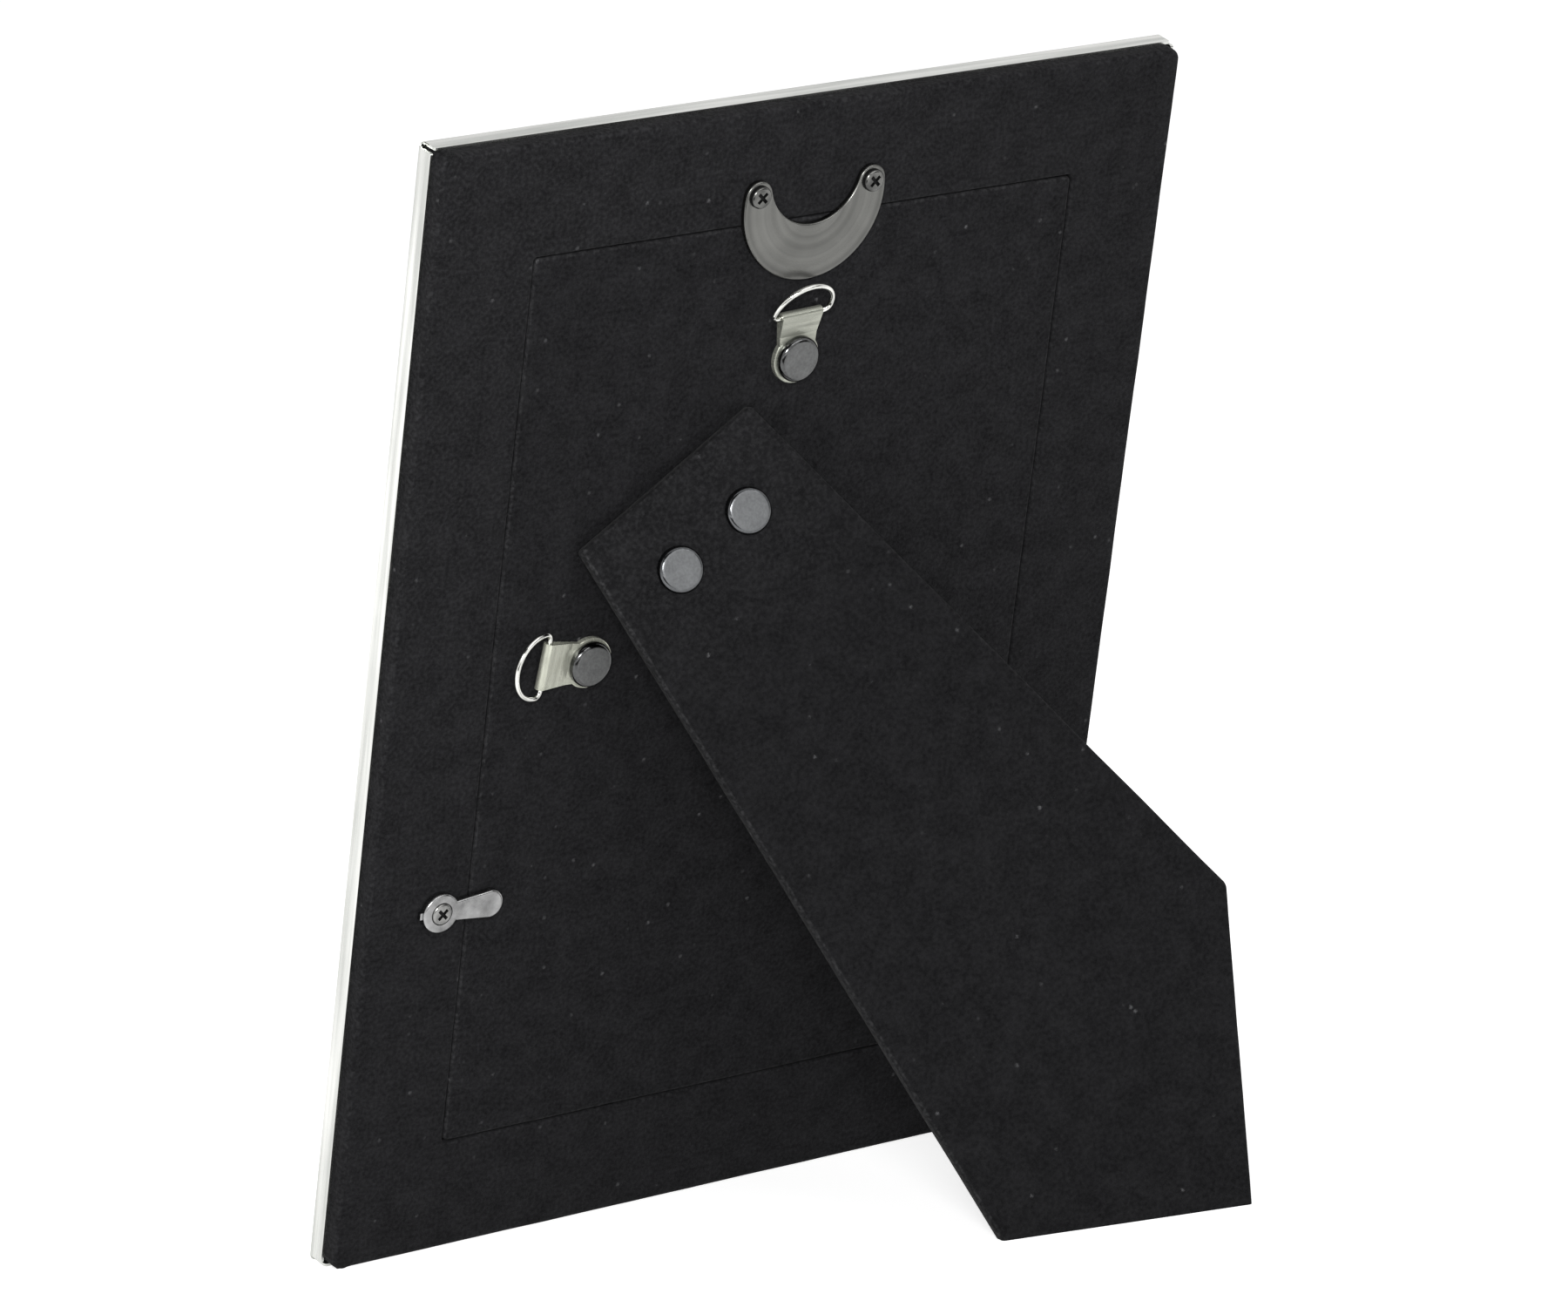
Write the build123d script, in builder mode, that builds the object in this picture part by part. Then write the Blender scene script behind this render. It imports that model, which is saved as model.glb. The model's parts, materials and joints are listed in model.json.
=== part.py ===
from build123d import *
import os
from math import cos, radians, sin, sqrt, tan

os.makedirs("parts", exist_ok=True)

# Standing pose: lean of the frame and opening angle of the leg
lean = 15.7
leg_open = 28.0

# Velvet back board and the border around its opening
board_w = 150.0
board_h = 200.0
border = 20.0
pile = 0.5
board_corner = 1.0
board_edge = 0.8
opening_corner = 1.0
opening_edge = 0.3

# Metal front shell, a face with four low flanges
sheet = 0.5
flange_h = 3.8
board_proud = 2.8
fold_r = 0.6
shell_corner = 0.85
corner_relief = 0.85
relief_floor = 0.3
flange_end_r = 0.5
sight_lip = 7.0

# Layers in the opening, from the face to the back
seam = 0.4
layer_corner = 0.8
glass_t = 1.8
print_t = 0.25
card_t = 0.95
panel_t = 2.5
panel_edge = 0.4

# Clearances of the moving pieces
running = 0.05
slip = 0.1

# Screws with a cross recess
screw_head_r = 1.95
screw_head_h = 0.8
screw_head_round = 0.5
screw_shank_r = 1.0
screw_len = 5.0
cross_len = 2.3
cross_w = 0.6
cross_depth = 0.5
cross_turn = 45.0

# Crescent retainer below the top edge
crescent_t = 1.0
crescent_drop = 16.7
crescent_r = 14.25
crescent_width = 9.9
crescent_cut_rise = 4.9
horn_r = 2.62
crescent_bevel = 0.35

# Turn buttons inside the two long edges
button_inset = 14.1
button_v = 64.5
button_t = 1.25
button_eye_r = 3.55
button_root = 1.5
button_tip = 2.55
button_shoulder = 9.9
button_reach = 12.35
button_nub = 0.5
button_nub_w = 1.2
button_bevel = 0.5
button_pocket = 0.6

# Cap rivets of the hangers and the leg
cap_r = 4.0
cap_h = 1.3
cap_round = 0.95
shank_r = 1.5
tail_r = 2.4
tail_h = 0.5

# Ring hangers, a folded strap and a wire ring: one below the crescent, one below the hinge
hanger_u_top = 0.0
hanger_gap_top = 5.2
hanger_turn_top = 92.5
ring_tilt_top = 27.0
hanger_inset_side = 39.1
hanger_fall_side = 27.1
hanger_turn_side = 173.5
ring_tilt_side = 14.0
strap_t = 0.45
strap_eye_r = 4.5
strap_reach_top = 8.8
strap_reach_side = 10.1
strap_neck = 4.2
strap_root_half = 3.4
strap_fold_half = 4.1
strap_round = 0.2
wire_r = 0.45
ring_bar_half = 4.5
ring_bend = 1.2
ring_butt = 0.1

# Leg hinge, below the upper hanger
hinge_u = -21.9
hinge_fall = 22.25
hinge_turn = 34.1
leaf_t = 0.6
leaf_half = 13.0
panel_leaf_l = 17.0
leg_leaf_l = 13.0
knuckle_r = 1.2
mid_knuckle_half = 4.4
knuckle_gap = 0.2
knuckle_notch = 1.6
pin_r = 0.6
pin_head_r = 1.0
pin_head_h = 0.4
leaf_rivet_a = 4.0
leaf_rivet_d = 13.8
leaf_rivet_head_r = 1.8
leaf_rivet_head_h = 0.4
leaf_rivet_r = 1.0

# Leg
leg_board_t = 2.0
leg_pile = 0.4
leg_top_half = 19.05
leg_flare_left = 6.4
leg_flare_right = 7.5
leg_inset = 6.0
leg_corner = 0.7
leg_edge = 0.6
leg_rivet_a = 7.65
leg_rivet_d = 8.3
leg_stop_gap = 0.1

# Sizes that follow from the ones above
opening_w = board_w - 2 * border
opening_h = board_h - 2 * border
pack_w = opening_w - 2 * seam
pack_h = opening_h - 2 * seam
front_w = -(board_proud + flange_h)
seat_w = front_w + sheet
print_w = seat_w + glass_t
card_w = print_w + print_t
panel_w = card_w + card_t
cover_w = panel_w + panel_t
panel_top_w = cover_w + pile
strap_w = panel_top_w + slip
strap_loop_r = wire_r + running
fold_r_out = strap_loop_r + strap_t
strap_bar_h = strap_t + strap_loop_r
ring_r = ring_bar_half + ring_bend
hanger_cap_w = strap_w + 2 * strap_t + slip
axis_h = knuckle_r
crescent_v = board_h - crescent_drop
hanger_v_top = crescent_v - crescent_r - hanger_gap_top - strap_reach_top
hinge_v = hanger_v_top - hinge_fall
hanger_v_side = hinge_v - hanger_fall_side
hanger_u_side = hanger_inset_side - board_w / 2
button_u = board_w / 2 - button_inset
leg_side_u = board_w / 2 - leg_inset
leg_off = knuckle_r + slip
leg_t = leg_board_t + 2 * leg_pile
open_rad = radians(leg_open)
leg_top = (axis_h + leg_off * cos(open_rad) - leg_stop_gap) / sin(open_rad)

# Tilted back plane, touching the table with its rounded lower edge
lean_rad = radians(lean)
edge_drop = board_edge * (cos(lean_rad) + sin(lean_rad) - 1)
tilted = Plane(origin=(0, 0, -edge_drop), x_dir=(-1, 0, 0), z_dir=(0, cos(lean_rad), -sin(lean_rad)))
hinge_place = Pos(hinge_u, hinge_v, panel_top_w + axis_h) * Rot(0, 0, hinge_turn)
leg_place = hinge_place * Rot(-leg_open, 0, 0)
leg_probe = Plane(tilted * leg_place)

# Leg outline on its outer face: foot along the table, end edge upright when folded
flare_left = tan(radians(leg_flare_left))
flare_right = tan(radians(leg_flare_right))
hinge_cos = cos(radians(hinge_turn))
hinge_sin = sin(radians(hinge_turn))
end_reach = leg_side_u - hinge_u
foot_level = leg_probe.origin.Z + (leg_off + leg_t) * leg_probe.z_dir.Z
foot_x = leg_probe.x_dir.Z
foot_y = leg_probe.y_dir.Z
elbow_y = hinge_cos * (leg_top_half + leg_top * flare_right) - end_reach
elbow_y = elbow_y / (hinge_sin + hinge_cos * flare_right)
elbow_x = leg_top_half + (leg_top - elbow_y) * flare_right
heel_y = -(foot_level + foot_x * end_reach / hinge_cos) / (foot_y + foot_x * hinge_sin / hinge_cos)
heel_x = (end_reach + heel_y * hinge_sin) / hinge_cos
toe_y = (foot_x * (leg_top_half + leg_top * flare_left) - foot_level) / (foot_y + foot_x * flare_left)
toe_x = -leg_top_half - (leg_top - toe_y) * flare_left
leg_points = [
    (-leg_top_half, leg_top),
    (leg_top_half, leg_top),
    (elbow_x, elbow_y),
    (heel_x, heel_y),
    (toe_x, toe_y),
]

# Shared planes, centred front to back over the table
front_y = (fold_r - sheet) * sin(lean_rad) + (front_w + fold_r) * cos(lean_rad) - fold_r
heel_point = leg_probe.from_local_coords((heel_x, heel_y, leg_off + leg_t))
centre_y = -(front_y + heel_point.Y) / 2
back = Plane(origin=(0, centre_y, -edge_drop), x_dir=tilted.x_dir, z_dir=tilted.z_dir)
middle = Plane(back * Pos(0, board_h / 2, 0))
outward = Axis(middle.origin, middle.z_dir)
hinge = Plane(back * hinge_place)
leg = Plane(back * leg_place)
leg_outward = Axis(leg.origin, leg.z_dir)

# Fixing points on the back plane and on the leg, with the horns tangent to the crescent's two edges
crescent_cut_r = crescent_r + crescent_cut_rise - crescent_width
horn_arm = crescent_r - horn_r
horn_reach = crescent_cut_r + horn_r
horn_rise = (horn_arm**2 - horn_reach**2 + crescent_cut_rise**2) / (2 * crescent_cut_rise)
horn_u = sqrt(horn_arm**2 - horn_rise**2)
outer_u = horn_u * crescent_r / horn_arm
outer_v = horn_rise * crescent_r / horn_arm
inner_u = horn_u * crescent_cut_r / horn_reach
inner_v = crescent_cut_rise + (horn_rise - crescent_cut_rise) * crescent_cut_r / horn_reach
horn_points = [(-horn_u, crescent_v + horn_rise), (horn_u, crescent_v + horn_rise)]
button_points = [(-button_u, button_v), (button_u, button_v)]
hanger_points = [(hanger_u_top, hanger_v_top), (hanger_u_side, hanger_v_side)]
leaf_points = [(-leaf_rivet_a, -leaf_rivet_d), (leaf_rivet_a, -leaf_rivet_d)]
leg_rivet_points = [(-leg_rivet_a, -leg_rivet_d), (leg_rivet_a, -leg_rivet_d)]
button_head_w = slip + button_t - button_pocket + slip

# Front shell
with BuildPart() as front_shell:
    with BuildSketch(middle.offset(front_w)):
        RectangleRounded(board_w + 2 * sheet, board_h + 2 * sheet, shell_corner)
    extrude(amount=flange_h)
    fillet(front_shell.faces().sort_by(outward)[0].edges(), fold_r)
    with BuildSketch(middle.offset(seat_w)):
        Rectangle(board_w, board_h)
    extrude(amount=flange_h, mode=Mode.SUBTRACT)
    with BuildSketch(middle.offset(front_w)):
        RectangleRounded(opening_w - 2 * sight_lip, opening_h - 2 * sight_lip, opening_corner)
    extrude(amount=flange_h, mode=Mode.SUBTRACT)
    with BuildSketch(middle.offset(seat_w + relief_floor)):
        with GridLocations(board_w + 2 * sheet, board_h + 2 * sheet, 2, 2):
            Rectangle(2 * corner_relief, 2 * corner_relief)
    extrude(amount=flange_h, mode=Mode.SUBTRACT)
    rim_edges = front_shell.faces().group_by(outward)[-1].edges()
    fillet(rim_edges.group_by(Edge.length)[0], flange_end_r)
front_shell.part.label = "front_shell"
export_step(front_shell.part, "parts/front_shell.step")

# Core frame of the back board
with BuildPart() as core_frame:
    with BuildSketch(middle.offset(seat_w)):
        RectangleRounded(board_w - 2 * pile, board_h - 2 * pile, board_corner - pile)
    extrude(amount=-seat_w - pile)
    fillet(core_frame.faces().sort_by(outward)[-1].edges(), board_edge - pile)
    with BuildSketch(middle.offset(seat_w)):
        RectangleRounded(opening_w + 2 * pile, opening_h + 2 * pile, opening_corner + pile)
    extrude(amount=-seat_w, mode=Mode.SUBTRACT)
    with BuildSketch(back.offset(crescent_t)):
        with Locations(*horn_points):
            Circle(screw_shank_r)
    extrude(amount=-screw_len, mode=Mode.SUBTRACT)
    with BuildSketch(back.offset(button_head_w)):
        with Locations(*button_points):
            Circle(screw_shank_r)
    extrude(amount=-screw_len, mode=Mode.SUBTRACT)
core_frame.part.label = "core_frame"
export_step(core_frame.part, "parts/core_frame.step")

# Velvet over the border
with BuildPart() as border_velvet:
    with BuildSketch(middle.offset(seat_w)):
        RectangleRounded(board_w, board_h, board_corner)
    extrude(amount=-seat_w)
    fillet(border_velvet.faces().sort_by(outward)[-1].edges(), board_edge)
    with BuildSketch(middle.offset(seat_w)):
        RectangleRounded(opening_w, opening_h, opening_corner)
    extrude(amount=-seat_w, mode=Mode.SUBTRACT)
    fillet(border_velvet.faces().sort_by(outward)[-1].inner_wires()[0].edges(), opening_edge)
    add(core_frame.part, mode=Mode.SUBTRACT)
    with BuildSketch(back.offset(crescent_t)):
        with Locations(*horn_points):
            Circle(screw_shank_r)
    extrude(amount=-screw_len, mode=Mode.SUBTRACT)
    with BuildSketch(back.offset(button_head_w)):
        with Locations(*button_points):
            Circle(screw_shank_r)
    extrude(amount=-screw_len, mode=Mode.SUBTRACT)
border_velvet.part.label = "border_velvet"
export_step(border_velvet.part, "parts/border_velvet.step")

# Glass pane
with BuildPart() as glass_pane:
    with BuildSketch(middle.offset(seat_w)):
        RectangleRounded(pack_w, pack_h, layer_corner)
    extrude(amount=glass_t)
glass_pane.part.label = "glass_pane"
export_step(glass_pane.part, "parts/glass_pane.step")

# Plain print insert
with BuildPart() as print_insert:
    with BuildSketch(middle.offset(print_w)):
        RectangleRounded(pack_w, pack_h, layer_corner)
    extrude(amount=print_t)
print_insert.part.label = "print_insert"
export_step(print_insert.part, "parts/print_insert.step")

# Filler card
with BuildPart() as filler_card:
    with BuildSketch(middle.offset(card_w)):
        RectangleRounded(pack_w, pack_h, layer_corner)
    extrude(amount=card_t)
filler_card.part.label = "filler_card"
export_step(filler_card.part, "parts/filler_card.step")

# Removable back panel
with BuildPart() as back_panel:
    with BuildSketch(middle.offset(panel_w)):
        RectangleRounded(pack_w - 2 * pile, pack_h - 2 * pile, layer_corner)
    extrude(amount=panel_t)
    with BuildSketch(back.offset(panel_w)):
        with Locations(*hanger_points):
            Circle(shank_r)
    extrude(amount=panel_t, mode=Mode.SUBTRACT)
    with BuildSketch(hinge.offset(-axis_h - pile)):
        with Locations(*leaf_points):
            Circle(leaf_rivet_r)
    extrude(amount=-panel_t, mode=Mode.SUBTRACT)
    with BuildSketch(back.offset(panel_w)):
        with Locations(*hanger_points):
            Circle(tail_r)
    extrude(amount=tail_h, mode=Mode.SUBTRACT)
    with BuildSketch(hinge.offset(-axis_h - pile - panel_t)):
        with Locations(*leaf_points):
            Circle(tail_r)
    extrude(amount=tail_h, mode=Mode.SUBTRACT)
back_panel.part.label = "back_panel"
export_step(back_panel.part, "parts/back_panel.step")

# Velvet over the back panel
with BuildPart() as panel_velvet:
    with BuildSketch(middle.offset(panel_w)):
        RectangleRounded(pack_w, pack_h, layer_corner + pile)
    extrude(amount=panel_t + pile)
    fillet(panel_velvet.faces().sort_by(outward)[-1].edges(), panel_edge)
    with BuildSketch(middle.offset(panel_w)):
        RectangleRounded(pack_w - 2 * pile, pack_h - 2 * pile, layer_corner)
    extrude(amount=panel_t, mode=Mode.SUBTRACT)
    with BuildSketch(back.offset(cover_w)):
        with Locations(*hanger_points):
            Circle(shank_r)
    extrude(amount=pile, mode=Mode.SUBTRACT)
    with BuildSketch(hinge.offset(-axis_h)):
        with Locations(*leaf_points):
            Circle(leaf_rivet_r)
    extrude(amount=-pile, mode=Mode.SUBTRACT)
panel_velvet.part.label = "panel_velvet"
export_step(panel_velvet.part, "parts/panel_velvet.step")

# Crescent retainer
with BuildPart() as crescent_retainer:
    with BuildSketch(back * Pos(0, crescent_v, 0)):
        with BuildLine():
            outer = ThreePointArc((-outer_u, outer_v), (0, -crescent_r), (outer_u, outer_v))
            right_horn = ThreePointArc(outer @ 1, (horn_u, horn_rise + horn_r), (inner_u, inner_v))
            inner = ThreePointArc(right_horn @ 1, (0, crescent_width - crescent_r), (-inner_u, inner_v))
            ThreePointArc(inner @ 1, (-horn_u, horn_rise + horn_r), outer @ 0)
        make_face()
    extrude(amount=crescent_t)
    fillet(crescent_retainer.faces().sort_by(outward)[-1].edges(), crescent_bevel)
    with BuildSketch(back):
        with Locations(*horn_points):
            Circle(screw_shank_r)
    extrude(amount=crescent_t, mode=Mode.SUBTRACT)
crescent_retainer.part.label = "crescent_retainer"
export_step(crescent_retainer.part, "parts/crescent_retainer.step")

# Screws of the crescent
with BuildPart() as crescent_screws:
    with BuildSketch(back.offset(crescent_t)):
        with Locations(*horn_points):
            Circle(screw_head_r)
    extrude(amount=screw_head_h)
    fillet(crescent_screws.faces().group_by(outward)[-1].edges(), screw_head_round)
    with BuildSketch(back.offset(crescent_t + screw_head_h - cross_depth)):
        with Locations(*horn_points):
            Rectangle(cross_len, cross_w, rotation=cross_turn)
            Rectangle(cross_w, cross_len, rotation=cross_turn)
    extrude(amount=cross_depth, mode=Mode.SUBTRACT)
    with BuildSketch(back.offset(crescent_t)):
        with Locations(*horn_points):
            Circle(screw_shank_r)
    extrude(amount=-screw_len)
crescent_screws.part.label = "crescent_screws"
export_step(crescent_screws.part, "parts/crescent_screws.step")

# Turn button, lying on its own plane with the arm along X
with BuildPart() as turn_button:
    with BuildSketch():
        with BuildLine():
            Polyline(
                (button_shoulder, -button_tip),
                (0, -button_root),
                (0, button_root),
                (button_shoulder, button_tip),
            )
            ThreePointArc((button_shoulder, button_tip), (button_reach, 0), (button_shoulder, -button_tip))
        make_face()
        Circle(button_eye_r)
    extrude(amount=button_t)
    fillet(turn_button.faces().sort_by(Axis.Z)[-1].edges(), button_bevel)
    with BuildSketch():
        with Locations((-button_eye_r, 0)):
            Rectangle(2 * button_nub, button_nub_w)
    extrude(amount=button_t - button_bevel)
    with BuildSketch(Plane.XY.offset(button_t - button_pocket)):
        Circle(screw_head_r + slip)
    extrude(amount=button_pocket, mode=Mode.SUBTRACT)
    with BuildSketch():
        Circle(screw_shank_r + running)
    extrude(amount=button_t, mode=Mode.SUBTRACT)

# The two turn buttons, pointing inward over the panel
for side, place in (
    ("left", Pos(-button_u, button_v, slip)),
    ("right", Pos(button_u, button_v, slip) * Rot(0, 0, 180)),
):
    with BuildPart(back * place) as placed_button:
        add(turn_button.part)
    placed_button.part.label = f"turn_button_{side}"
    export_step(placed_button.part, f"parts/turn_button_{side}.step")

# Screws of the turn buttons
with BuildPart() as turn_button_screws:
    with BuildSketch(back.offset(button_head_w)):
        with Locations(*button_points):
            Circle(screw_head_r)
    extrude(amount=screw_head_h)
    fillet(turn_button_screws.faces().group_by(outward)[-1].edges(), screw_head_round)
    with BuildSketch(back.offset(button_head_w + screw_head_h - cross_depth)):
        with Locations(*button_points):
            Rectangle(cross_len, cross_w, rotation=cross_turn)
            Rectangle(cross_w, cross_len, rotation=cross_turn)
    extrude(amount=cross_depth, mode=Mode.SUBTRACT)
    with BuildSketch(back.offset(button_head_w)):
        with Locations(*button_points):
            Circle(screw_shank_r)
    extrude(amount=-screw_len)
turn_button_screws.part.label = "turn_button_screws"
export_step(turn_button_screws.part, "parts/turn_button_screws.step")

# Hangers: a strap folded over the bar of a wire ring
for name, spot, turn, reach, tilt in (
    ("top", (hanger_u_top, hanger_v_top), hanger_turn_top, strap_reach_top, ring_tilt_top),
    ("side", (hanger_u_side, hanger_v_side), hanger_turn_side, strap_reach_side, ring_tilt_side),
):
    place = Pos(*spot, strap_w) * Rot(0, 0, turn)
    strap_bar = reach - fold_r_out
    with BuildPart() as hanger_strap:
        with BuildSketch(back * place * Rot(90, 0, 0)):
            with BuildLine():
                Polyline(
                    (strap_bar, 2 * strap_bar_h),
                    (strap_neck, 2 * strap_t),
                    (-strap_eye_r, 2 * strap_t),
                    (-strap_eye_r, 0),
                    (strap_bar, 0),
                )
                ThreePointArc((strap_bar, 0), (reach, strap_bar_h), (strap_bar, 2 * strap_bar_h))
            make_face()
            with BuildLine():
                Polyline(
                    (strap_bar, strap_t),
                    (strap_bar, strap_t + 2 * strap_loop_r),
                    (strap_neck, strap_t),
                    close=True,
                )
            make_face(mode=Mode.SUBTRACT)
            with Locations((strap_bar, strap_bar_h)):
                Circle(strap_loop_r, mode=Mode.SUBTRACT)
        extrude(amount=strap_eye_r, both=True)
        with BuildSketch(back * place):
            Circle(strap_eye_r)
            with BuildLine():
                Polyline(
                    (0, -strap_root_half),
                    (reach, -strap_fold_half),
                    (reach, strap_fold_half),
                    (0, strap_root_half),
                    close=True,
                )
            make_face()
        extrude(amount=2 * strap_bar_h, mode=Mode.INTERSECT)
        eye_top = hanger_strap.faces().filter_by(outward).sort_by(outward)[-1]
        fillet(eye_top.edges().filter_by(GeomType.CIRCLE), strap_round)
        with BuildSketch(back * place):
            Circle(shank_r + running)
        extrude(amount=2 * strap_t, mode=Mode.SUBTRACT)
    hanger_strap.part.label = f"hanger_strap_{name}"
    export_step(hanger_strap.part, f"parts/hanger_strap_{name}.step")

    with BuildPart() as hanger_ring:
        with BuildLine(back * place * Pos(strap_bar, 0, strap_bar_h) * Rot(0, -tilt, 0)) as ring_path:
            Line((0, ring_butt), (0, ring_bar_half))
            RadiusArc((0, ring_bar_half), (ring_bend, ring_r), ring_bend)
            ThreePointArc((ring_bend, ring_r), (ring_bend + ring_r, 0), (ring_bend, -ring_r))
            RadiusArc((ring_bend, -ring_r), (0, -ring_bar_half), ring_bend)
            Line((0, -ring_bar_half), (0, -ring_butt))
        with BuildSketch(Plane(origin=ring_path.line @ 0, z_dir=ring_path.line % 0)):
            Circle(wire_r)
        sweep(path=ring_path.line)
    hanger_ring.part.label = f"hanger_ring_{name}"
    export_step(hanger_ring.part, f"parts/hanger_ring_{name}.step")

# Cap rivets of the hangers
with BuildPart() as hanger_rivets:
    with BuildSketch(back.offset(hanger_cap_w)):
        with Locations(*hanger_points):
            Circle(cap_r)
    extrude(amount=cap_h)
    fillet(hanger_rivets.faces().group_by(outward)[-1].edges(), cap_round)
    with BuildSketch(back.offset(panel_w)):
        with Locations(*hanger_points):
            Circle(shank_r)
    extrude(amount=hanger_cap_w - panel_w)
    with BuildSketch(back.offset(panel_w)):
        with Locations(*hanger_points):
            Circle(tail_r)
    extrude(amount=tail_h)
hanger_rivets.part.label = "hanger_rivets"
export_step(hanger_rivets.part, "parts/hanger_rivets.step")

# Hinge leaf on the panel, with the two outer knuckles
hinge_side = Plane(origin=hinge.origin, x_dir=hinge.y_dir, z_dir=hinge.x_dir)
with BuildPart() as hinge_panel_leaf:
    with BuildSketch(hinge_side):
        with Locations((-panel_leaf_l / 2, leaf_t / 2 - axis_h)):
            Rectangle(panel_leaf_l, leaf_t)
        Circle(knuckle_r)
        Circle(pin_r + running, mode=Mode.SUBTRACT)
    extrude(amount=leaf_half, both=True)
    with BuildSketch(hinge_side):
        Rectangle(2 * knuckle_notch, 2 * knuckle_notch)
    extrude(amount=mid_knuckle_half + knuckle_gap, both=True, mode=Mode.SUBTRACT)
    with BuildSketch(hinge.offset(-axis_h)):
        with Locations(*leaf_points):
            Circle(leaf_rivet_r)
    extrude(amount=leaf_t, mode=Mode.SUBTRACT)
hinge_panel_leaf.part.label = "hinge_panel_leaf"
export_step(hinge_panel_leaf.part, "parts/hinge_panel_leaf.step")

# Rivets that hold the hinge leaf to the panel
with BuildPart() as hinge_panel_rivets:
    with BuildSketch(hinge.offset(leaf_t - axis_h)):
        with Locations(*leaf_points):
            Circle(leaf_rivet_head_r)
    extrude(amount=leaf_rivet_head_h)
    with BuildSketch(hinge.offset(leaf_t - axis_h)):
        with Locations(*leaf_points):
            Circle(leaf_rivet_r)
    extrude(amount=-(leaf_t + pile + panel_t))
    with BuildSketch(hinge.offset(-axis_h - pile - panel_t)):
        with Locations(*leaf_points):
            Circle(tail_r)
    extrude(amount=tail_h)
hinge_panel_rivets.part.label = "hinge_panel_rivets"
export_step(hinge_panel_rivets.part, "parts/hinge_panel_rivets.step")

# Hinge pin with two peened heads
with BuildPart() as hinge_pin:
    with BuildSketch(hinge_side):
        Circle(pin_r)
    extrude(amount=leaf_half, both=True)
    with BuildSketch(hinge_side.offset(leaf_half)):
        Circle(pin_head_r)
    extrude(amount=pin_head_h)
    with BuildSketch(hinge_side.offset(-leaf_half)):
        Circle(pin_head_r)
    extrude(amount=-pin_head_h)
hinge_pin.part.label = "hinge_pin"
export_step(hinge_pin.part, "parts/hinge_pin.step")

# Hinge leaf under the leg, with the middle knuckle
leg_side = Plane(origin=leg.origin, x_dir=leg.y_dir, z_dir=leg.x_dir)
with BuildPart() as hinge_leg_leaf:
    with BuildSketch(leg_side):
        with Locations((-leg_leaf_l / 2, leg_off - leaf_t / 2)):
            Rectangle(leg_leaf_l, leaf_t)
        Circle(knuckle_r)
        Circle(pin_r + running, mode=Mode.SUBTRACT)
    extrude(amount=leaf_half, both=True)
    with BuildSketch(leg_side.offset(mid_knuckle_half)):
        Rectangle(2 * knuckle_notch, 2 * knuckle_notch)
    extrude(amount=leaf_half, mode=Mode.SUBTRACT)
    with BuildSketch(leg_side.offset(-mid_knuckle_half)):
        Rectangle(2 * knuckle_notch, 2 * knuckle_notch)
    extrude(amount=-leaf_half, mode=Mode.SUBTRACT)
    with BuildSketch(leg.offset(leg_off)):
        with Locations(*leg_rivet_points):
            Circle(shank_r)
    extrude(amount=-leaf_t, mode=Mode.SUBTRACT)
hinge_leg_leaf.part.label = "hinge_leg_leaf"
export_step(hinge_leg_leaf.part, "parts/hinge_leg_leaf.step")

# Leg board, ending a pile's thickness above the table
with BuildPart() as leg_board:
    with BuildSketch(leg.offset(leg_off + leg_pile)) as board_outline:
        with BuildLine():
            Polyline(*leg_points, close=True)
        make_face()
        fillet(board_outline.vertices(), leg_corner)
        offset(amount=-leg_pile, mode=Mode.REPLACE)
    extrude(amount=leg_board_t)
    split(bisect_by=Plane.XY.offset(leg_pile), keep=Keep.TOP)
    with BuildSketch(leg.offset(leg_off + leg_pile)):
        with Locations(*leg_rivet_points):
            Circle(shank_r)
    extrude(amount=leg_board_t, mode=Mode.SUBTRACT)
leg_board.part.label = "leg_board"
export_step(leg_board.part, "parts/leg_board.step")

# Velvet around the leg, its foot flat on the table
with BuildPart() as leg_velvet:
    with BuildSketch(leg.offset(leg_off)) as leg_outline:
        with BuildLine():
            Polyline(*leg_points, close=True)
        make_face()
        fillet(leg_outline.vertices(), leg_corner)
    extrude(amount=leg_t)
    fillet(leg_velvet.faces().sort_by(leg_outward)[-1].edges(), leg_edge)
    fillet(leg_velvet.faces().sort_by(leg_outward)[0].edges(), leg_edge)
    split(bisect_by=Plane.XY, keep=Keep.TOP)
    add(leg_board.part, mode=Mode.SUBTRACT)
    with BuildSketch(leg.offset(leg_off)):
        with Locations(*leg_rivet_points):
            Circle(shank_r)
    extrude(amount=leg_t, mode=Mode.SUBTRACT)
leg_velvet.part.label = "leg_velvet"
export_step(leg_velvet.part, "parts/leg_velvet.step")

# Cap rivets of the leg
with BuildPart() as leg_rivets:
    with BuildSketch(leg.offset(leg_off + leg_t)):
        with Locations(*leg_rivet_points):
            Circle(cap_r)
    extrude(amount=cap_h)
    fillet(leg_rivets.faces().group_by(leg_outward)[-1].edges(), cap_round)
    with BuildSketch(leg.offset(leg_off + leg_t)):
        with Locations(*leg_rivet_points):
            Circle(shank_r)
    extrude(amount=-(leg_t + leaf_t))
    with BuildSketch(leg.offset(leg_off - leaf_t)):
        with Locations(*leg_rivet_points):
            Circle(tail_r)
    extrude(amount=-tail_h)
leg_rivets.part.label = "leg_rivets"
export_step(leg_rivets.part, "parts/leg_rivets.step")
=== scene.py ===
"""Looks of a small easel back photo frame: black velvet back, metal fittings, standing on a white table."""

import json
from math import cos, radians, sin, tan

import bpy
from mathutils import Matrix, Quaternion, Vector


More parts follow.
